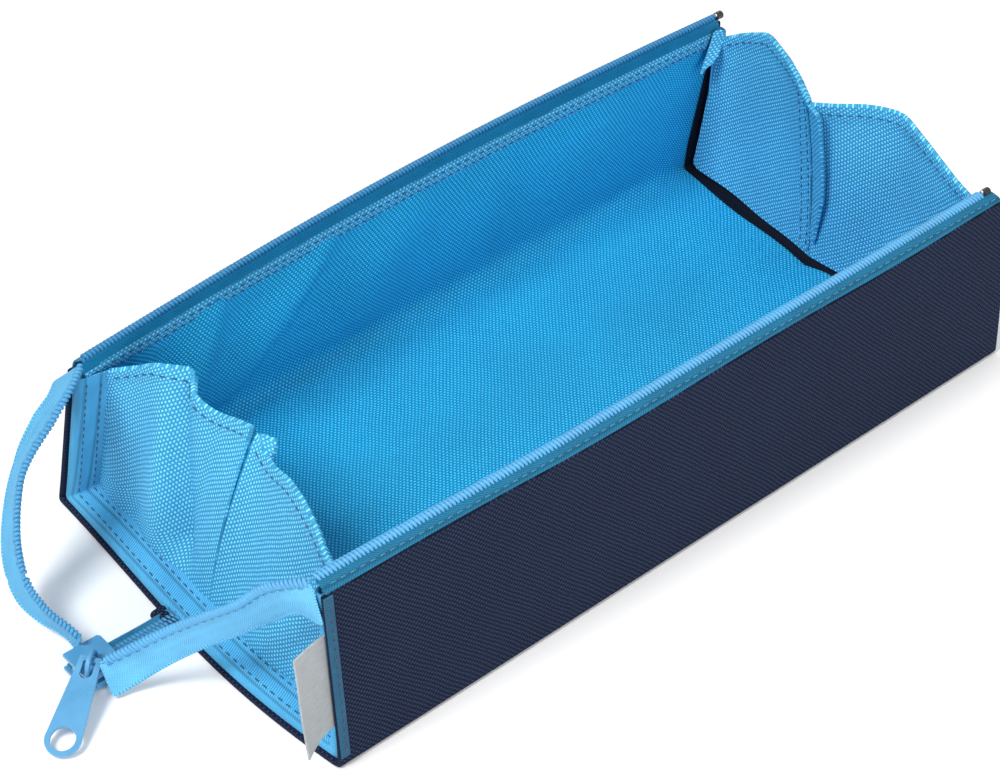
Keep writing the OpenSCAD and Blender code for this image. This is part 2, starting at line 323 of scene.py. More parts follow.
def assign(piece, body, slot, *nodes):
    """The piece rides one body and stands for the CAD nodes named, which are hidden; the slot is not
    used.
    """
    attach(piece, body)
    if nodes:
        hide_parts(*nodes)


# ---------------- materials


class Paint:
    """A material's node tree, with short calls for what the materials here share."""

    def __init__(self, name, colour, roughness, **shader):
        self.material = bpy.data.materials.new(name)
        self.material.use_nodes = True
        self.tree = self.material.node_tree
        self.shader = self.tree.nodes["Principled BSDF"]
        self.colour = colour
        self.shader.inputs["Roughness"].default_value = roughness
        self.shader.inputs["Base Color"].default_value = (*colour, 1)
        for socket, value in shader.items():
            self.shader.inputs[socket.replace("_", " ")].default_value = value

    def node(self, kind, inputs=(), **settings):
        made = self.tree.nodes.new("ShaderNode" + kind)
        for key, value in settings.items():
            setattr(made, key, value)
        for key, value in dict(inputs).items():
            self.set(made.inputs[key], value)
        return made

    def set(self, socket, value):
        if isinstance(value, bpy.types.NodeSocket):
            self.tree.links.new(value, socket)
        else:
            socket.default_value = value

    def math(self, operation, a, b=0.0, c=0.0):
        made = self.node("Math", operation=operation)
        for socket, value in zip(made.inputs, (a, b, c)):
            self.set(socket, value)
        return made.outputs[0]

    def times(self, a, b):
        return self.math("MULTIPLY", a, b)

    def humps(self, value, pitch):
        """A row of round humps, one every pitch."""
        return self.math("ABSOLUTE", self.math("SINE", self.times(value, math.pi / pitch)))

    def place(self):
        """The point's two flat coordinates on the cloth, and both as a vector."""
        vector = self.node("Attribute", attribute_name="cloth").outputs["Vector"]
        parts = self.node("SeparateXYZ", {"Vector": vector})
        return parts.outputs["X"], parts.outputs["Y"], vector

    def noise(self, vector, scale, detail=2.0, stretch=(1, 1, 1)):
        moved = self.node("Mapping", {"Vector": vector, "Scale": stretch})
        return self.node("TexNoise", {"Vector": moved.outputs[0], "Scale": scale,
                                      "Detail": detail}).outputs["Fac"]

    def span(self, value, low, high, to_low, to_high):
        made = self.node("MapRange", {"Value": value, "From Min": low, "From Max": high,
                                      "To Min": to_low, "To Max": to_high})
        return made.outputs["Result"]

    def scaled(self, colour, amount):
        made = self.node("VectorMath", operation="SCALE")
        made.inputs[0].default_value = colour
        self.set(made.inputs["Scale"], amount)
        return made.outputs[0]

    def shade(self, amount, sheen_amount=None, sheen_tint=None):
        """The base colour times a varying factor, with a paler colour added as painted sheen, by the
        amount given.
        """
        mixed = self.scaled(self.colour, amount)
        if sheen_tint:
            added = self.node("VectorMath", operation="ADD")
            self.set(added.inputs[0], mixed)
            self.set(added.inputs[1], self.scaled(sheen_tint, sheen_amount))
            mixed = added.outputs[0]
        self.tree.links.new(mixed, self.shader.inputs["Base Color"])

    def grooved(self, across, grooves, light, height):
        """Sunk along each groove, at a distance across the ribbon, and darkened there as painted shade.
        """
        for at in grooves:
            away = self.math("ABSOLUTE", self.math("SUBTRACT", across, at))
            light = self.times(light, self.span(away, 0.1, 0.55, 0.55, 1.0))
            height = self.times(height, self.span(away, 0.1, 0.7, 0.2, 1.0))
        return light, height

    def uneven_gloss(self, value, roughness, less, more):
        rough = self.span(value, 0.3, 0.7, roughness - less, roughness + more)
        self.set(self.shader.inputs["Roughness"], rough)

    def bump(self, height, depth):
        made = self.node("Bump", {"Height": height, "Strength": 1.0, "Distance": depth * MM})
        self.tree.links.new(made.outputs[0], self.shader.inputs["Normal"])

    def threads(self, across, along, pitch_u, pitch_v):
        """Plain weave: its height, and how far the thread along Y lies on top, from -1 to 1."""
        u = self.math("DIVIDE", across, pitch_u)
        v = self.math("DIVIDE", along, pitch_v)
        wave_u = self.math("SINE", self.times(u, math.pi))
        wave_v = self.math("SINE", self.times(v, math.pi))
        odd_u = self.math("COSINE", self.times(self.math("FLOOR", u), math.pi))
        odd_v = self.math("COSINE", self.times(self.math("FLOOR", v), math.pi))
        over_u = self.math("MULTIPLY_ADD", self.times(wave_v, odd_u), 0.5, 0.5)
        over_v = self.math("MULTIPLY_ADD", self.times(wave_u, odd_v), -0.5, 0.5)
        round_u = self.math("POWER", self.math("ABSOLUTE", wave_u), 0.6)
        round_v = self.math("POWER", self.math("ABSOLUTE", wave_v), 0.6)
        warp = self.times(round_u, over_u)
        weft = self.times(round_v, over_v)
        return self.math("MAXIMUM", warp, weft), self.math("SUBTRACT", warp, weft)


def woven(name, colour, sheen_tint, pitch, depth, contrast=0.3, roughness=0.6, stretch=1.0, **shader):
    """Oxford cloth: a plain weave of fat yarns, with paler floats as painted sheen and darker gaps as
    painted shade.
    """
    paint = Paint(name, colour, roughness, **shader)
    x, y, vector = paint.place()
    wander = paint.noise(vector, 0.09, 2)
    x = paint.math("MULTIPLY_ADD", wander, 1.2, x)
    height, on_top = paint.threads(x, y, pitch, pitch * stretch)
    yarn = paint.noise(vector, 1.0, 3, (0.4, 3.0, 1))
    patches = paint.noise(vector, 0.045, 3)
    # Low places between the yarns are darkened as painted shade, and the floats on top are lightened as
    # painted sheen
    dark = 1 - 1.6 * contrast
    light = paint.math("MULTIPLY_ADD", on_top, contrast, paint.span(height, 0.1, 0.8, dark, 1.06))
    light = paint.times(light, paint.span(yarn, 0.3, 0.7, 0.88, 1.12))
    light = paint.times(light, paint.span(patches, 0.3, 0.7, 0.94, 1.06))
    # How much paler tint the floats get: painted sheen
    sheen_amount = paint.times(paint.span(on_top, 0.1, 0.9, 0, 1), paint.span(yarn, 0.3, 0.7, 0.7, 1.3))
    paint.shade(light, sheen_amount, sheen_tint)
    paint.uneven_gloss(yarn, roughness, 0.1, 0.1)
    paint.bump(paint.math("MULTIPLY_ADD", yarn, 0.12, height), depth)
    return paint.material


def ribbed(name, colour, pitch, depth, grooves=(), roughness=0.65):
    """Grosgrain: ribs across the ribbon, pulled down in a groove under each row of stitches; darker
    between the ribs and in the grooves as painted shade.
    """
    paint = Paint(name, colour, roughness, Specular_IOR_Level=0.25)
    x, y, vector = paint.place()
    rib = paint.humps(x, pitch)
    fine = paint.humps(y, 0.38)
    height = paint.math("MULTIPLY_ADD", fine, 0.25, paint.math("POWER", rib, 0.6))
    patches = paint.noise(vector, 0.12, 3)
    fuzz = paint.noise(vector, 2.5, 2)
    # Darker between the ribs: painted shade
    light = paint.times(paint.span(height, 0.1, 1.1, 0.36, 1.18), paint.span(patches, 0.3, 0.7, 0.9, 1.1))
    light, height = paint.grooved(y, grooves, light, height)
    paint.shade(light)
    paint.uneven_gloss(fuzz, roughness, 0.1, 0.1)
    paint.bump(paint.math("MULTIPLY_ADD", fuzz, 0.15, height), depth)
    return paint.material


def herringbone(name, colour, pitch, column, depth, grooves=(), roughness=0.6):
    """Zip tape: slanting ribs that turn back at each column, darker between the ribs as painted shade."""
    paint = Paint(name, colour, roughness, Specular_IOR_Level=0.25)
    x, y, vector = paint.place()
    zigzag = paint.math("PINGPONG", y, column)
    rib = paint.humps(paint.math("ADD", x, zigzag), pitch)
    fine = paint.humps(y, 0.3)
    height = paint.math("MULTIPLY_ADD", fine, 0.3, paint.math("POWER", rib, 0.7))
    patches = paint.noise(vector, 0.15, 3)
    light = paint.times(paint.span(height, 0.1, 1.2, 0.6, 1.16), paint.span(patches, 0.3, 0.7, 0.9, 1.1))
    light, height = paint.grooved(y, grooves, light, height)
    paint.shade(light)
    paint.uneven_gloss(patches, roughness, 0.08, 0.08)
    paint.bump(height, depth)
    return paint.material


def thread(name, colour):
    """Sewing thread: two plies twisted together, darker in the twist's grooves as painted shade."""
    paint = Paint(name, colour, 0.5, Sheen_Weight=0.15)
    x, y, _ = paint.place()
    twist = paint.math("SINE", paint.math("MULTIPLY_ADD", x, 9.0, paint.times(y, 14.0)))
    paint.shade(paint.span(twist, -1, 1, 0.8, 1.12))
    paint.bump(twist, 0.05)
    return paint.material


def moulded(name, colour, roughness, depth=0.02, **shader):
    """Nylon, enamel or metal: nearly smooth, with faint flow marks and uneven gloss."""
    paint = Paint(name, colour, roughness, **shader)
    vector = paint.node("TexCoord").outputs["Object"]
    grain = paint.noise(vector, 900, 2)
    marks = paint.noise(vector, 160, 3)
    paint.shade(paint.span(marks, 0.3, 0.7, 0.93, 1.06))
    paint.uneven_gloss(marks, roughness, 0.08, 0.1)
    paint.bump(grain, depth)
    return paint.material


def card(name, colour):
    """Grey board, with flecks of pulp."""
    paint = Paint(name, colour, 0.9)
    vector = paint.node("TexCoord").outputs["Object"]
    flecks = paint.noise(vector, 1800, 4)
    paint.shade(paint.span(flecks, 0.3, 0.7, 0.8, 1.1))
    paint.bump(flecks, 0.05)
    return paint.material


# Each woven cloth's second colour is the paler tint added on its floats as painted sheen
NAVY = woven("navy_cloth", (0.007, 0.016, 0.046), (0.020, 0.018, 0.022), 0.62, 0.08, 0.5, 0.85,
             Specular_IOR_Level=0.12)
# A far darker copy of the navy: painted shadow in the gap at the far end
SHADED_FACING = woven("shaded_facing_cloth", (0.004, 0.007, 0.018), (0.003, 0.003, 0.004), 0.5, 0.07, 0.3, 0.85,
               Specular_IOR_Level=0.1)
LINING = woven("lining_cloth", (0.001, 0.385, 0.740), (0.080, 0.095, 0.045), 0.66, 0.12, 0.40, 0.6, 0.8,
               Specular_IOR_Level=0.2)
GUSSET = woven("gusset_cloth", (0.042, 0.398, 0.708), (0.150, 0.120, 0.070), 0.70, 0.14, 0.38, 0.6, 0.8,
               Specular_IOR_Level=0.25)
BINDING = ribbed("binding_tape", (0.075, 0.390, 0.680), 0.58, 0.14, (4.5, 8.2))
# A darker copy of the binding's blue: painted shade where the binding turns round the front wall's near
# edge
SHADED_EDGE_TAPE = ribbed("shaded_edge_tape", (0.014, 0.090, 0.170), 0.58, 0.12)
TAPE = herringbone("zip_tape", (0.125, 0.450, 0.740), 0.6, 1.5, 0.08)
# A darker copy of the zip tape's blue: painted shade on the hanging loop
SHADED_LOOP_TAPE = herringbone("loop_tape", (0.085, 0.360, 0.610), 0.6, 1.5, 0.08)
SELVAGE = ribbed("tape_selvage", (0.115, 0.430, 0.720), 0.8, 0.2)
SHADED_TAPE = herringbone("shaded_tape", (0.030, 0.190, 0.330), 0.6, 1.5, 0.1)
# A darker copy of the zip tape's blue: painted shade on the tape along the walls' tops
SHADED_LEDGE_TAPE = herringbone("ledge_tape", (0.008, 0.150, 0.285), 0.7, 1.5, 0.16, (2.9, 5.2))
# A darker copy of the zip tape's blue: painted shade on the back tape's inner side
SHADED_INNER_TAPE = herringbone("shaded_inner_tape", (0.006, 0.200, 0.390), 0.7, 1.5, 0.14)
COIL = moulded("coil_nylon", (0.075, 0.320, 0.570), 0.5)
# A darker copy of the coil's nylon: painted shade on the loop
SHADED_LOOP_COIL = moulded("shaded_loop_coil_nylon", (0.050, 0.260, 0.480), 0.5)
# A darker copy of the coil's nylon: painted shade on the back wall's coil, seen from inside
SHADED_BACK_COIL = moulded("shaded_back_coil_nylon", (0.014, 0.165, 0.350), 0.5)
# A darker copy of the coil's nylon: painted shade on the closed chain
SHADED_CHAIN_COIL = moulded("shaded_chain_nylon", (0.040, 0.220, 0.400), 0.5)
THREAD = thread("sewing_thread", (0.070, 0.340, 0.620))
SEAM_THREAD = thread("seam_thread", (0.006, 0.080, 0.200))
LEDGE_THREAD = thread("ledge_thread", (0.016, 0.190, 0.330))
DARK_THREAD = thread("dark_thread", (0.014, 0.040, 0.100))
ENAMEL = moulded("slider_enamel", (0.072, 0.275, 0.490), 0.32, 0.008, Coat_Weight=0.3)
METAL = moulded("stop_metal", (0.090, 0.085, 0.075), 0.35, 0.01, Metallic=0.8)
BRIGHT = moulded("stop_dot", (0.850, 0.840, 0.800), 0.3, 0.01, Metallic=0.5)
LABEL = woven("label_satin", (0.300, 0.320, 0.335), (0.02, 0.02, 0.02), 0.22, 0.03, 0.08, 0.5)
CARE = woven("care_satin", (0.400, 0.360, 0.370), (0.02, 0.02, 0.02), 0.22, 0.03, 0.08, 0.5)
CARD = card("grey_board", (0.420, 0.400, 0.370))

# ---------------- shape of the case


def lean(side, x):
    """Lean of a wall towards the middle, in radians; both walls are a little twisted."""
    if side == FRONT:
        return math.radians(FRONT_LEAN_FAR + FRONT_TWIST * np.clip((-40 - x) / 60, 0, 1))
    share = (x + HALF_LEN) / (2 * HALF_LEN)
    swell = BACK_SWELL * math.cos(math.pi * x / (2 * HALF_LEN))
    return math.radians(BACK_LEAN_NEAR + share * (BACK_LEAN_FAR - BACK_LEAN_NEAR) - swell)


def on_wall(side, x, depth, height):
    """A point on a wall, at a depth from its outer face and a height along its slope."""
    a = lean(side, x)
    y = HALF_W - depth * math.cos(a) - height * math.sin(a)
    z = height * math.cos(a) - depth * math.sin(a)
    if x > FAR_SLOPE_FROM:
        x -= FAR_END_SLOPE * ((x - FAR_SLOPE_FROM) / 40) ** 2 * max(z / WALL_TOP, 0) ** 2
    return [x, side * y, z]


def end_bow(x, y, height):
    """How far the near edge of the bottom bows out: it fades along X and up the walls."""
    reach = np.clip((-55 - x) / 45, 0, 1) ** 2
    fade = np.clip(1 - height / 9, 0, 1) ** 2
    return reach * fade * (3.4 - 0.045 * y) * np.cos(math.pi * y / 104)


def half_section(side, x, depth, top, counts=(22, 5, 20), corner=1.2):
    """The line of a layer at one X, from the fold to the top of a wall."""
    a = lean(side, x)
    rise = depth * (1 + math.sin(a)) / math.cos(a)
    corner_y = HALF_W - depth * math.cos(a) - rise * math.sin(a)
    n_bottom, n_corner, n_wall = counts
    flat = [[x, side * y, depth] for y in np.linspace(0, corner_y - corner, n_bottom)]
    foot = np.array([x, side * (corner_y - corner), depth])
    knee = np.array([x, side * corner_y, depth])
    shin = np.array(on_wall(side, x, depth, rise + corner))
    turn = [(1 - f) ** 2 * foot + 2 * f * (1 - f) * knee + f ** 2 * shin
            for f in np.linspace(0, 1, n_corner + 2)[1:-1]]
    wall = [on_wall(side, x, depth, v) for v in np.linspace(rise + corner, top, n_wall)]
    line = np.array(flat + turn + wall)
    line[:, 0] -= end_bow(line[:, 0], line[:, 1], line[:, 2] - depth)
    return line


def section(x, depth, top, *shape):
    """The whole line of a layer at one X, from the top of the front wall to that of the back."""
    front = half_section(FRONT, x, depth, top, *shape)
    back = half_section(BACK, x, depth, top, *shape)
    return np.concatenate([front[:0:-1], back])


def far_shift(line):
    """The far gusset's edge keeps away from the end: most at the fold, least at the walls' tops."""
    low = np.clip(1 - np.abs(line[..., 1]) / 44, 0, 1) * np.clip(1 - line[..., 2] / 20, 0, 1)
    return np.clip(line[..., 2] / 44, 0, 1) * 4.4 - 4.6 * low


def across_fold(piece):
    """Bakes the piece's transform into its mesh."""
    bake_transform(piece)


def half_body(side):
    return SIDE_NAME[side] + "_half"


def layer_nodes(layer):
    """The CAD nodes of one layer: a wall and a bottom in each half."""
    return [f"{half}_{part}_{layer}" for half in ("front", "back") for part in ("wall", "bottom")]


# ---------------- outer cloth, boards, lining


def make_outer_cloth():
    xs = np.linspace(-HALF_LEN - CLOTH_PROUD, HALF_LEN + CLOTH_PROUD, 90)
    tops = CLOTH_TOP + 0.2 * np.sin(xs / 13)
    faces = [np.array([section(x, depth, top) for x, top in zip(xs, tops)]) for depth in (0.0, CLOTH_T)]
    cloth = slab("outer_cloth", *faces, NAVY)
    across_fold(cloth)
    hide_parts(*layer_nodes("shell"), "fold_strip")


def make_boards():
    """Two stiff boards in each half: one in the wall, one in the bottom."""
    out, inn = CLOTH_T + 0.1, LINING_OUT - 0.1
    for side in (FRONT, BACK):
        xs = np.linspace(-HALF_LEN + 0.8, HALF_LEN - 0.8, 24)
        rise = inn + 1.5
        faces = [np.array([[on_wall(side, x, d, v) for v in np.linspace(rise, CLOTH_TOP - 2.2, 8)]
                           for x in xs]) for d in (out, inn)]
        wall = slab(SIDE_NAME[side] + "_wall_card", *faces, CARD)
        ys = np.linspace(FOLD_REACH, HALF_W - 4.5, 8)
        faces = [np.array([[[x, side * y, z] for y in ys] for x in xs]) for z in (out, inn)]
        for face in faces:
            face[..., 0] -= end_bow(face[..., 0], face[..., 1], 0)
        floor = slab(SIDE_NAME[side] + "_bottom_card", *faces, CARD)
        for piece, node in ((wall, "_wall_board"), (floor, "_bottom_board")):
            assign(piece, half_body(side), "stiffener", SIDE_NAME[side] + node)


# Soft folds of the lining on each wall: rise, X at mid height, slant, width to the left and right
SOFT_FOLDS = {
    FRONT: [(1.4, -60, 0.3, 12, 8), (0.9, 10, -0.4, 20, 14), (1.2, 66, 0.2, 12, 8)],
    BACK: [(4.2, -67, 0.3, 9, 3.8), (3.4, -43, 0.9, 13, 4.6), (1.8, -10, 0.5, 18, 8),
           (0.9, 20, 0.2, 18, 12), (0.9, 60, -0.3, 16, 9)],
}


def fold_at(x, height, middle, slant, left, right):
    """A soft fold that runs up a wall: 1 on its crest, with a width on either side of it."""
    away = x - middle - slant * (height - 25)
    return np.exp(-(away / np.where(away < 0, left, right)) ** 2)


def lining_swell(grid):
    """How far the lining stands off its board, in soft folds that die out at its edges."""
    x, y, z = grid[..., 0], grid[..., 1], grid[..., 2]
    height = z - LINING_IN
    on_back = np.clip(y / 30, 0, 1) * np.clip(height / 8, 0, 1)
    on_front = np.clip(-y / 30, 0, 1) * np.clip(height / 8, 0, 1)
    hang = np.sin(np.clip(height / 42, 0, 1) * math.pi) ** 0.7
    ends = np.clip((HALF_LEN - 8 - np.abs(x)) / 14, 0, 1)
    back = sum(rise * fold_at(x, height, *fold) for rise, *fold in SOFT_FOLDS[BACK])
    front = sum(rise * fold_at(x, height, *fold) for rise, *fold in SOFT_FOLDS[FRONT])
    floor = 0.3 * (1 + np.sin(x / 19 + y / 11) * np.cos(x / 31 - y / 17)) * np.clip(
        1 - height / 4, 0, 1) * np.clip(np.abs(y) / 12, 0, 1)
    return (back * on_back + front * on_front) * hang * ends + floor * ends


def make_lining():
    """The lining, with rounder corners between the ends than at them."""
    xs = np.linspace(-HALF_LEN + 1.2, HALF_LEN - 1.2, 110)
    middle = (LINING_OUT + LINING_IN) / 2
    corners = 1.2 + 5 * np.clip((HALF_LEN - 9 - np.abs(xs)) / 12, 0, 1)
    grid = np.array([section(x, middle, CLOTH_TOP, (24, 6, 26), c) for x, c in zip(xs, corners)])
    grid = grid + inward(grid) * lining_swell(grid)[..., None]
    cloth = sheet("lining_cloth", grid, LINING_IN - LINING_OUT, LINING)
    across_fold(cloth)
    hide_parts(*layer_nodes("lining"))


def inward(grid):
    """Normals of a layer of the case that point into the tray."""
    normals = normals_of(grid)
    middle = normals[len(grid) // 2, grid.shape[1] // 2]
    return normals if middle[2] > 0 else -normals


def make_far_facing():
    """A strip of the navy cloth that shows between the lining and the far gusset, coloured far darker
    than the navy to paint the shadow in that gap.
    """
    line = section(HALF_LEN - 5, LINING_IN + 0.35, WALL_TOP - 1.8, END_COUNTS)
    upright = np.clip(line[:, 2] / 12, 0, 1) * np.clip(line[:, 1] / 40, 0, 1)
    wander = 0.5 * np.sin(line[:, 1] / 6) * (1 - upright) - 0.7 * upright
    wander += 1.9 * np.clip(-line[:, 1] / 5, 0, 1)
    inner = HALF_LEN - FAR_INSET - 1.1 + far_shift(line) + wander
    outer = np.minimum(inner + 10.2, line[:, 0] + 4.2)
    grid = np.repeat(line[None], 12, axis=0)
    grid[..., 0] = inner + np.linspace(0, 1, 12)[:, None] * (outer - inner)
    strip = sheet("far_facing", grid, 0.4, SHADED_FACING)
    across_fold(strip)


def make_far_tuck():
    """The far gusset's spare cloth, tucked in a small wavy fold beside the back wall."""
    line = curve_through([(92.6, 42.2, 47.2), (91.6, 41.9, 44), (89.9, 41.4, 41), (87.2, 41.6, 37.6)], 22)
    width = 2.6 * np.sin(np.linspace(0.25, 1, 22) * math.pi) + 0.3
    share = np.linspace(-0.5, 0.5, 6)[:, None, None]
    sway = 0.5 * np.sin(np.linspace(0, 7, 22))[None, :, None] * share
    grid = line[None] + share * width[None, :, None] * unit(np.array([0.75, -0.5, 0.1])) + sway
    tuck = sheet("far_tuck", grid, 0.7, GUSSET)
    assign(tuck, "back_half", "gusset_cloth")


# ---------------- bindings

# The binding's line from the cut edge to the gusset: how far in from the end, and how deep
BAND_LINE = [(0.7, 1.15), (0.1, 1.3), (-0.3, 1.9), (-0.25, 2.8), (0.2, 3.5), (1.1, 3.85),
             (2.8, 4.15), (4.7, 4.6), (BAND_IN, BAND_DEPTH)]
BAND_ROWS = (0.44, 0.80)


def make_binding(end):
    grid = np.array([section(end * (HALF_LEN - inset), depth, BAND_TOP, END_COUNTS)
                     for inset, depth in curve_through(BAND_LINE, 15)])
    name = END_NAME[end] + "_binding"
    band = sheet(name, grid, BAND_T, BINDING)
    across_fold(band)
    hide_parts(*[f"{END_NAME[end]}_{SIDE_NAME[side]}_{part}_binding"
                        for side in (FRONT, BACK) for part in ("bottom", "wall")])
    rows = [seam_row(grid, share, BAND_T / 2, UP) for share in BAND_ROWS]
    across_fold(stitching(name + "_stitches", rows, SEAM_THREAD))


# ---------------- gussets

# Top hem of each gusset half, from the ridge to the wall
HEMS = {
    (NEAR, BACK): [(-83.4, 0.4, 47.0), (-83.4, 5.5, 45.2), (-84.4, 12, 43.6), (-85.8, 17.8, 45.2),
                   (-86.6, 22.4, 48.0), (-87.8, 27, 48.2), (-90, 32, 45.4)],
    (NEAR, FRONT): [(-83.2, -0.4, 45.6), (-83.4, -3.6, 43.0), (-84.6, -8.5, 42.9),
                    (-85.6, -14.5, 44.4), (-87.2, -21, 44.6), (-89.2, -27.5, 43.8), (-91.4, -33, 42.8)],
    (FAR, BACK): [(84.5, 4.8, 51.2), (87.5, 10.2, 52.0), (91.3, 18.2, 52.6), (94.5, 27.8, 53.2),
                  (95.0, 35.9, 48.6)],
    (FAR, FRONT): [(84.5, 3.9, 50.4), (87.2, -2.6, 52.4), (91.0, -6.9, 53.1), (93.0, -11.3, 53.8),
                   (94.5, -15.8, 54.2), (94.5, -24.8, 49.9), (94.5, -34.3, 45.1)],
}


def hem_line(end, side, wall_top, count):
    """The near hems curve; the far ones run straight between corners that are barely rounded."""
    points = HEMS[end, side] + [tuple(wall_top)]
    if end == NEAR:
        return curve_through(points, count)
    line = resample(np.array(points), 160)
    padded = np.concatenate([np.repeat(line[:1], 6, 0), line, np.repeat(line[-1:], 6, 0)])
    soft = np.array([padded[k:k + 13].mean(0) for k in range(len(line))])
    soft[0], soft[-1] = line[0], line[-1]
    return resample(soft, count)


def coons(bottom, top, left, right):
    """A smooth patch between four edges that share their corners."""
    n, m = len(left), len(bottom)
    u = np.linspace(0, 1, m)[None, :, None]
    v = np.linspace(0, 1, n)[:, None, None]
    ruled_v = (1 - v) * bottom[None] + v * top[None]
    ruled_u = (1 - u) * left[:, None] + u * right[:, None]
    corners = ((1 - u) * (1 - v) * bottom[0] + u * (1 - v) * bottom[-1]
               + (1 - u) * v * top[0] + u * v * top[-1])
    return ruled_v + ruled_u - corners


# Waves of each gusset half: their size, how many there are across it, and their shift
GUSSET_WAVES = {(NEAR, BACK): (1.6, 2.1, 0.3), (NEAR, FRONT): (1.6, 1.3, 0.7),
                (FAR, BACK): (0.8, 1.4, 0.2), (FAR, FRONT): (1.0, 1.7, 0.6)}


def gusset_grid(end, side, n=34):
    """Rows run from the binding up to the hem; each row runs from the ridge to the wall."""
    inset = BAND_IN - 0.3 if end == NEAR else FAR_INSET
    outer = half_section(side, end * (HALF_LEN - inset), BAND_DEPTH - 0.1, BAND_TOP, (30, 6, 30), 2.2)
    if end == FAR:
        outer[:, 0] += far_shift(outer)
    knee = 33
    bottom = resample(outer[:knee + 1], n)
    wall = resample(outer[knee:], n)
    hem = hem_line(end, side, wall[-1], n)
    ridge = curve_through([bottom[0], (bottom[0] + hem[0]) / 2, hem[0]], n)
    grid = coons(bottom, hem, ridge, wall)
    across = np.linspace(0, 1, n)[None, :]
    up = np.linspace(0, 1, n)[:, None]
    soft = np.sin(math.pi * across) * np.sin(math.pi * np.clip(up * 0.9 + 0.1, 0, 1) ** 0.8)
    size, count, shift = GUSSET_WAVES[end, side]
    grid[..., 0] += end * size * soft * np.sin(2 * math.pi * (count * across - 0.25 * up + shift))
    grid[..., 0] += end * 1.6 * soft
    grid[..., 0] += end * 1.8 * np.exp(-across / 0.12) * np.sin(math.pi * up) ** 0.8
    if (end, side) == (NEAR, BACK):
        valley = (across - 0.25 - 0.3 * up) / 0.075
        grid[..., 0] -= end * 3.4 * np.exp(-valley ** 2) * np.clip(up / 0.15, 0, 1)
    return grid


def flap_body(end, side):
    return f"{END_NAME[end]}_{SIDE_NAME[side]}_flap"


def across_flap(piece, end, side):
    """Finds the flap's joint and the way from the case's half to its flap, which nothing uses, then bakes
    the piece's transform into its mesh.
    """
    joint = next(j for j in frame["joints"] if j["child"] == flap_body(end, side))
    along = Vector(joint["axis"]).normalized()
    to_flap = Vector((1, 0, 0)).cross(along)
    if to_flap.z < 0:
        to_flap = -to_flap
    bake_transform(piece)


def make_gusset(end, side):
    name = f"{END_NAME[end]}_{SIDE_NAME[side]}_gusset"
    grid = gusset_grid(end, side)
    hem_rows = np.linspace(0, 1, grid.shape[0])[:, None] > 0.93
    cloth = sheet(name, grid, np.where(hem_rows, GUSSET_T + 0.7, GUSSET_T), GUSSET)
    across_flap(cloth, end, side)
    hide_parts(f"{END_NAME[end]}_{SIDE_NAME[side]}_end_panel", flap_body(end, side))
    points, lift = row_of(grid, 0.95)
    rows = [(points, lift, GUSSET_T / 2 + 0.35), (points, -lift, GUSSET_T / 2 + 0.35)]
    across_flap(stitching(name + "_stitches", rows, SEAM_THREAD), end, side)


def make_ridge_seam(end):
    """The two gusset halves are sewn together: their seam allowance stands on the inner side."""
    name = END_NAME[end] + "_ridge"
    ridge = resample(gusset_grid(end, FRONT)[4:, 0], 26)
    inside = -end
    width = 4.6 * np.clip(np.linspace(0.3, 2.2, len(ridge)), 0, 1)
    share = np.linspace(0, 1, 5)[:, None]
    grid = np.repeat(ridge[None], len(share), axis=0)
    grid[..., 0] += inside * (0.5 + 0.35 * share * width)
    grid[..., 1] -= 0.2 + 0.92 * share * width
    seam = sheet(name + "_seam", grid, 1.1, GUSSET)
    assign(seam, flap_body(end, FRONT), "gusset_cloth", name + "_tab")
    row = seam_row(grid, 0.3, 0.55, (inside, 0, 0))
    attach(stitching(name + "_stitches", [row], THREAD), flap_body(end, FRONT))


def make_seam_band():
    """The far gusset's seam allowance, pressed flat and sewn to its back half."""
    grid = gusset_grid(FAR, BACK)
    inner = inward_x(grid)
    columns = np.arange(grid.shape[1])
    rows = []
    for row, lift, up in zip(grid, inner, np.linspace(0, 1, len(grid))):
        at = np.linspace(0.3, 2.6 + 2.6 * up, 7)
        rows.append(between(at, columns, row) + 0.65 * between(at, columns, lift))
    band_grid = np.array(rows)[1:]
    band = sheet("far_seam_band", band_grid, 0.5, GUSSET)
    across_flap(band, FAR, BACK)
    lines = [(band_grid[:, k], inward_x(band_grid)[:, k], 0.25) for k in (1, 5)]
    across_flap(stitching("far_seam_band_stitches", lines, SEAM_THREAD), FAR, BACK)


def inward_x(grid):
    """Normals of the far gusset that point along -X, into the case."""
    normals = normals_of(grid)
    return normals if normals[..., 0].mean() < 0 else -normals


# ---------------- zip

COIL_PITCH = 0.98
COIL_HALF_W = 1.0
COIL_HALF_H = 0.6
COIL_WIRE = 0.38
# The tape's line over the top of each wall: its depth, and its height past the wall's top
LEDGE_LINE = {
    FRONT: [(0.9, -3.0), (0.55, -1.6), (0.65, -0.6), (1.1, 0.0), (1.8, 0.25), (2.6, 0.4), (3.3, 0.5)],
    BACK: [(0.9, -3.0), (0.5, -1.6), (0.45, -0.5), (0.55, 0.6), (0.9, 1.6), (1.6, 2.6), (2.4, 3.4)],
}
COIL_AT = {FRONT: (4.1, 0.75), BACK: (2.8, 4.1)}
COIL_END = {FRONT: HALF_LEN - 2.6, BACK: HALF_LEN - 3.6}


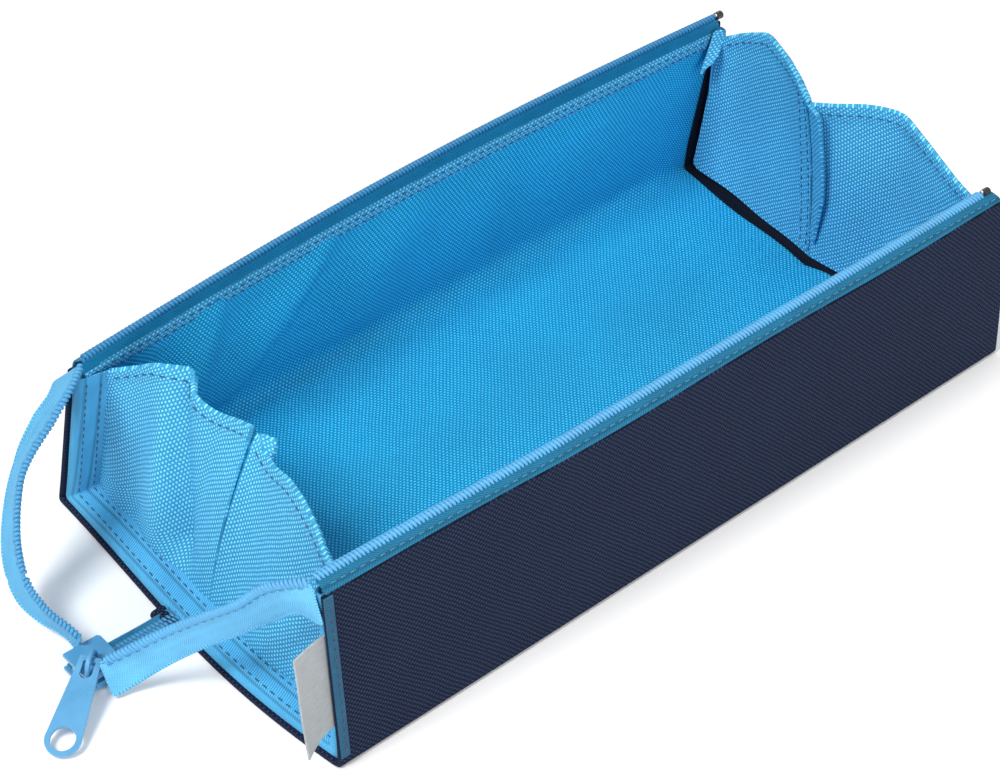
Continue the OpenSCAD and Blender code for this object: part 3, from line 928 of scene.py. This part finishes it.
def coil(name, path, across, material=COIL, half_w=COIL_HALF_W, half_h=COIL_HALF_H, wire_r=COIL_WIRE):
    """A zip coil: a wire wound in flat turns along a path, round a filler cord."""
    along = steps(path)
    turns = int((along[-1] - 0.4) / COIL_PITCH)
    angle = np.linspace(0, turns * 2 * math.pi, turns * 10 + 1)
    at = 0.2 + angle / (2 * math.pi) * COIL_PITCH
    centre = between(at, along, path)
    side = unit(between(at, along, across))
    ahead = unit(np.gradient(centre, axis=0))
    side = unit(side - (side * ahead).sum(1, keepdims=True) * ahead)
    up = np.cross(ahead, side)
    c, s = np.cos(angle)[:, None], np.sin(angle)[:, None]
    wire = centre + side * c * half_w + up * s * half_h
    radial = unit(side * c * half_h + up * s * half_w)
    core = resample(path, max(8, int(along[-1] / 2)))
    core_up = between(steps(core), along, across)
    made = tubes(name, [wire], [radial], wire_r, material)
    filler = tubes(name + "_cord", [core], [core_up], min(half_h, half_w) * 0.95, material, sides=8)
    return made, filler


def make_wall_zip(side):
    name = SIDE_NAME[side]
    xs = np.linspace(-HALF_LEN + 0.2, HALF_LEN - 0.2, 84)
    profile = curve_through(LEDGE_LINE[side], 11)
    grid = np.array([[on_wall(side, x, d, WALL_TOP + h) for x in xs] for d, h in profile])
    # The ledge tape's darker blue is painted shade
    tape = sheet(name + "_ledge_tape", grid, 0.55, SHADED_LEDGE_TAPE)
    assign(tape, half_body(side), "zip_tape", name + "_zip_tape")
    ends = np.linspace(-HALF_LEN + 0.3, COIL_END[side], 60)
    path = np.array([on_wall(side, x, COIL_AT[side][0], WALL_TOP + COIL_AT[side][1]) for x in ends])
    ledge = unit(grid[-1, 0] - grid[-3, 0])
    # The back coil's darker nylon is painted shade
    nylon = COIL if side == FRONT else SHADED_BACK_COIL
    half_w = COIL_HALF_W if side == FRONT else 0.75
    wire, filler = coil(name + "_coil", path, np.tile(ledge, (len(path), 1)), nylon, half_w)
    assign(wire, half_body(side), "zip_coil", name + "_zip_coil")
    assign(filler, half_body(side), "zip_coil")
    row = seam_row(grid, 0.62, 0.3, (0, side, 0))
    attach(stitching(name + "_ledge_stitches", [row], LEDGE_THREAD), half_body(side))


def make_back_facing():
    """The inner side of the back wall's tape, from its coil down behind the lining's hem, in a darker
    copy of the tape's blue that is painted shade.
    """
    xs = np.linspace(-HALF_LEN + 1.0, HALF_LEN - 2.5, 84)
    profile = [(2.2, 3.3), (2.5, 2.4), (2.7, 1.4), (2.9, 0.4), (LINING_IN - 0.1, -0.7),
               (LINING_IN - 0.1, -1.8)]
    grid = np.array([[on_wall(BACK, x, d, WALL_TOP + h) for x in xs] for d, h in profile])
    facing = sheet("back_tape_facing", grid, 0.4, SHADED_INNER_TAPE)
    assign(facing, "back_half", "zip_tape")


def make_lining_hem(side):
    """The lining's top edge is turned over and sewn down with two rows of stitches."""
    name = SIDE_NAME[side]
    xs = np.linspace(-HALF_LEN + 1.5, HALF_LEN - 2.5, 90)
    heights = np.linspace(WALL_TOP - 4.6, WALL_TOP - 0.6, 6)
    bulge = [0.0, 0.45, 0.55, 0.55, 0.45, 0.1]
    grid = np.array([[on_wall(side, x, LINING_IN + b, h) for h, b in zip(heights, bulge)] for x in xs])
    hem = sheet(name + "_lining_hem", grid, 0.6, GUSSET)
    rows = [seam_row(grid.transpose(1, 0, 2), share, 0.3, (0, -side, 0)) for share in (0.3, 0.72)]
    seams = stitching(name + "_lining_hem_stitches", rows, SEAM_THREAD)
    for piece in (hem, seams):
        assign(piece, half_body(side), "lining_cloth")


def make_top_stop(side):
    """A clamped metal stop at the far end of a coil, with a bright rivet dot."""
    name = SIDE_NAME[side]
    depth, height = COIL_AT[side]
    middle = np.array(on_wall(side, COIL_END[side] + 0.9, depth, WALL_TOP + height))
    line = middle + np.array([[-1.1, 0, 0], [-0.8, 0, 0], [0, 0, 0.05], [0.8, 0, 0], [1.1, 0, 0]])
    stop = tubes(name + "_stop_clamp", [resample(line, 12)], [UP], 1.0, METAL, sides=14)
    dot_line = middle + np.array([[-1.35, -0.2 * side, 0.55], [-0.95, -0.2 * side, 0.6]])
    dot = tubes(name + "_stop_rivet", [resample(dot_line, 4)], [UP], 0.42, BRIGHT, sides=10)
    assign(stop, half_body(side), "top_stop", name + "_top_stop")
    assign(dot, half_body(side), "top_stop")


# ---------------- loose tail of the zip

TAPE_W = 8.6
TAPE_T = 0.6
# Route of the front tape from the wall's corner to the slider, and the way its coil edge points
FRONT_ROUTE = [(-101.2, -42.6, 42.2), (-103, -34.5, 37.8), (-105.5, -28.5, 31), (-109, -21.5, 23.8),
               (-113.2, -14.5, 16.7), (-118.5, -8.8, 10.2), (-123, -5.6, 6.2), (-126.2, -4.7, 5.3)]
FRONT_ACROSS = [(0, 0.64, 0.75), (-0.53, 0.51, 0.68), (-0.68, 0.37, 0.64), (-0.63, 0.36, 0.69),
                (-0.61, 0.32, 0.72), (-0.57, 0.29, 0.77), (-0.4, 0.29, 0.87), (-0.19, 0.26, 0.95)]
# Route of the back tape, which hangs as an open loop
LOOP_ROUTE = [(-101.2, 40.9, 43.7), (-105.7, 37.7, 42.9), (-111.6, 36, 39.5), (-117, 35, 34.5),
              (-121, 33.5, 28.5), (-124.6, 30.8, 21), (-126.8, 27.6, 14.1), (-127.7, 23.2, 9.6),
              (-127.2, 18.6, 7.7), (-126.2, 14.2, 6.8), (-125.2, 10.4, 6), (-124.8, 7.2, 4.8)]
LOOP_ACROSS = [(0, -0.66, 0.75), (0.02, -0.67, 0.74), (-0.22, -0.8, 0.55), (-0.25, -0.88, 0.41),
               (-0.15, -0.92, 0.37), (-0.01, -0.92, 0.38), (0.16, -0.84, 0.52), (0.24, -0.57, 0.79),
               (0.1, -0.28, 0.95), (-0.06, -0.22, 0.97), (-0.02, -0.28, 0.96), (0.13, -0.33, 0.93)]
# Share of the loop in its first stretch, which hangs from the case; the rest makes the second stretch,
# towards the slider
LOOP_SPLIT = 0.70


def tape_frames(route, across, count):
    """Points along a smooth route, and the unit direction of the tape's width at each."""
    both = np.concatenate([np.asarray(route, float), np.asarray(across, float) * 3], axis=1)
    fine = curve_through(both, count)
    line, side = fine[:, :3], fine[:, 3:]
    ahead = unit(np.gradient(line, axis=0))
    return line, unit(side - (side * ahead).sum(1, keepdims=True) * ahead)


def make_loose_tape(name, line, side, width, bodies, ends, cloth=TAPE, nylon=COIL, coil_w=0.8):
    """Loose tape with its coil, ribbed edge and stitches, baked where it lies; bodies and ends are not
    used.
    """
    half = width[:, None] / 2
    share = np.linspace(-1, 1, 9)[:, None, None]
    grid = line[None] + share * half[None] * side[None]
    tape = sheet(name + "_tape", grid, TAPE_T, cloth)
    wire, filler = coil(name + "_coil", line + side * (half + 0.5), side, nylon, coil_w, 0.45, 0.43)
    edge = tubes(name + "_selvage", [line - side * half], [side], 0.5, SELVAGE, sides=10)
    up = np.cross(unit(np.gradient(line, axis=0)), side)
    rows = [(line + side * (half - 0.7), way * up, TAPE_T / 2) for way in (1, -1)]
    seams = stitching(name + "_stitches", rows, THREAD)
    for piece in (tape, wire, filler, edge, seams):
        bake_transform(piece)
    return tape, wire


def make_tail():
    line, side = tape_frames(FRONT_ROUTE, FRONT_ACROSS, 46)
    tape, wire = make_loose_tape("tail_front", line, side, np.full(len(line), TAPE_W),
                                 ("front_half", "slider"), (line[2], line[-3]))
    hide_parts("tail_front_tape")
    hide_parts("tail_front_coil")
    make_loop()


def make_loop():
    """The back tape's loop, in two stretches; it turns on edge and narrows towards the slider."""
    line, side = tape_frames(LOOP_ROUTE, LOOP_ACROSS, 90)
    along = np.linspace(0, 1, len(line))
    turn = np.radians(np.interp(along, [0, 0.18, 0.35, 1], [-10, -12, 8, 10]))[:, None]
    ahead = unit(np.gradient(line, axis=0))
    side = side * np.cos(turn) + np.cross(ahead, side) * np.sin(turn)
    width = np.interp(along, [0, 0.1, 0.85, 1], [TAPE_W, 7.6, 7.6, 5.2])
    k = int(LOOP_SPLIT * len(line))
    # The loop's darker tape and coil are painted shade
    looks = (SHADED_LOOP_TAPE, SHADED_LOOP_COIL, 0.55)
    tape, wire = make_loose_tape("loop_upper", line[:k + 1], side[:k + 1], width[:k + 1],
                                 ("back_half", "front_half"), (line[2], line[k - 8]), *looks)
    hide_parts("loop_tape")
    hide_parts("loop_coil")
    make_loose_tape("loop_lower", line[k:], side[k:], width[k:],
                    ("front_half", "slider"), (line[k + 8], line[-3]), *looks)


def shorten(piece):
    """Gives the piece its own mesh and hangs it on the front half."""
    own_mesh(piece)
    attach(piece, "front_half")


def make_closed_tail():
    """The closed end of the zip, from its navy patch on the case to the slider."""
    low, high = (np.array(c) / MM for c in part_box("tail_chain"))
    middle = (low + high) / 2
    patch_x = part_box("tail_anchor")[0].x / MM
    xs = np.linspace(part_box("tail_front_half")[0].x / MM + 1.5, patch_x + 0.6, 30)
    for side, name in ((FRONT, "tail_front_half"), (BACK, "tail_back_half")):
        share = np.linspace(0, 1, 7)[:, None]
        narrow = 1 - 0.55 * np.sin(np.linspace(0, 1, 30) * math.pi)[None, :] ** 0.8
        y = middle[1] + side * (1.2 + 1.9 * share * narrow)
        z = middle[2] + 0.35 * np.sin(xs / 5)[None, :] * share + 0.5 * share
        grid = np.stack([np.broadcast_to(xs, y.shape), y, z], axis=-1)
        tape = sheet(name + "_strip", grid, 0.6, SHADED_TAPE)
        shorten(tape)
        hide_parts(name)
    half_gap = 0.62
    ends = np.linspace(patch_x + 0.3, low[0], 16)
    for side, name in ((FRONT, "chain_front"), (BACK, "chain_back")):
        path = np.array([[x, middle[1] + side * half_gap, middle[2]] for x in ends])
        across = np.tile([0.0, side, 0], (len(path), 1))
        # The chain's darker nylon is painted shade
        for piece in coil(name, path, across, SHADED_CHAIN_COIL, half_w=0.6, half_h=0.45):
            shorten(piece)
            if piece.name == "chain_front":
                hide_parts("tail_chain")


def make_tail_patch():
    """Navy cloth folded over the end of the closed tail and sewn under the case's edge."""
    around = np.linspace(0, 2 * math.pi, 28, endpoint=False)
    ys = np.linspace(0.4, 7.0, 22)
    mid_x, half_x = -HALF_LEN - 5.4, 1.9
    mid_z, half_z = 1.95, 1.5
    rings = []
    for y in ys:
        pinch = 1 - 0.25 * abs(2 * (y - ys[0]) / (ys[-1] - ys[0]) - 1) ** 4
        x = mid_x + half_x * np.sign(np.cos(around)) * np.abs(np.cos(around)) ** 0.6
        z = mid_z + half_z * pinch * np.sign(np.sin(around)) * np.abs(np.sin(around)) ** 0.8
        rings.append(np.stack([x + 0.15 * math.sin(y), np.full_like(x, y), z], axis=1))
    rings = np.array(rings)
    n, m = rings.shape[:2]
    verts = rings.reshape(-1, 3)
    faces = [(i * m + j, i * m + (j + 1) % m, (i + 1) * m + (j + 1) % m, (i + 1) * m + j)
             for i in range(n - 1) for j in range(m)]
    faces += [tuple(range(m)), tuple((n - 1) * m + j for j in reversed(range(m)))]
    patch = build("tail_patch", verts, faces, NAVY, flat_places(rings).reshape(-1, 3))
    assign(patch, "front_half", "navy_cloth", "tail_anchor")


def make_edge_trim():
    """A narrow strip of the binding tape, sewn over the navy cloth along the front wall's near edge, in a
    darker blue that is painted shade.
    """
    xs = -HALF_LEN - CLOTH_PROUD - 0.15 + np.array([0, 0.5, 1.1, 1.7, 2.1])
    heights = np.linspace(3, CLOTH_TOP - 0.3, 40)
    grid = np.array([[on_wall(FRONT, x, -0.3, v) for v in heights] for x in xs])
    trim = sheet("front_edge_trim", grid, 0.4, SHADED_EDGE_TAPE)
    seam = stitching("front_edge_stitches", [seam_row(grid, 0.6, 0.2, (0, -1, 0))], DARK_THREAD)
    for piece in (trim, seam):
        assign(piece, "front_half", "binding")


# ---------------- labels, slider, pull

def make_side_label():
    """A blank white label, folded double and caught in the near edge of the front wall."""
    length, reach = 24.0, 8.0

    def spot(t, q):
        x, y, z = on_wall(FRONT, -HALF_LEN - CLOTH_PROUD - 0.1 - reach * q, 1.1, 11.2 + length * t)
        drop = (1.3 + 1.2 * (1 - t)) * q ** 1.5
        return [x, y - (0.4 + 1.7 * (1 - t)) * q ** 2 + 0.25 * math.sin(5 * t) * q, z - drop]

    grid = np.array([[spot(t, q) for q in np.linspace(0, 1, 12)] for t in np.linspace(0, 1, 26)])
    label = sheet("side_label_cloth", grid, 0.5, LABEL)
    assign(label, "front_half", "label", "side_label")


def make_care_label():
    """A small blank label on the inner side of the front wall."""
    grid = np.array([[on_wall(FRONT, -HALF_LEN + 9.5 + 14 * q, 4.1 + 2.2 * t * t * (1 - q), 32 + 12.5 * t)
                      for q in np.linspace(0, 1, 10)] for t in np.linspace(0, 1, 10)])
    label = sheet("care_label_cloth", grid, 0.35, CARE)
    assign(label, "front_half", "label", "care_label")


def finish_metal():
    """The slider, its bail and the pull keep their shape: softened edges and enamel."""
    for name, width in (("slider_body", 0.28), ("slider_bail", 0.0), ("pull_tab", 0.2)):
        node = frame["nodes"][name]
        node.data.materials.clear()
        node.data.materials.append(ENAMEL)
        if width:
            bevel = node.modifiers.new("soft_edge", "BEVEL")
            bevel.width = width * MM
            bevel.segments = 3
            bevel.limit_method = "ANGLE"
            bevel.harden_normals = True


make_outer_cloth()
make_boards()
make_lining()
make_far_facing()
make_far_tuck()
make_seam_band()
make_edge_trim()
for end in (NEAR, FAR):
    make_binding(end)
    for side in (FRONT, BACK):
        make_gusset(end, side)
    make_ridge_seam(end)
for side in (FRONT, BACK):
    make_wall_zip(side)
    make_lining_hem(side)
    make_top_stop(side)
make_back_facing()
make_tail()
make_closed_tail()
make_tail_patch()
make_side_label()
make_care_label()
finish_metal()


def make_floor():
    corner = 1500
    z = cad_box[0][2] / MM - 0.15
    corners = [(-corner, -corner, z), (corner, -corner, z), (corner, corner, z), (-corner, corner, z)]
    paint = Paint("studio_floor", (0.86, 0.86, 0.86), 0.85)
    build("studio_floor", corners, [(0, 1, 2, 3)], paint.material)


make_floor()
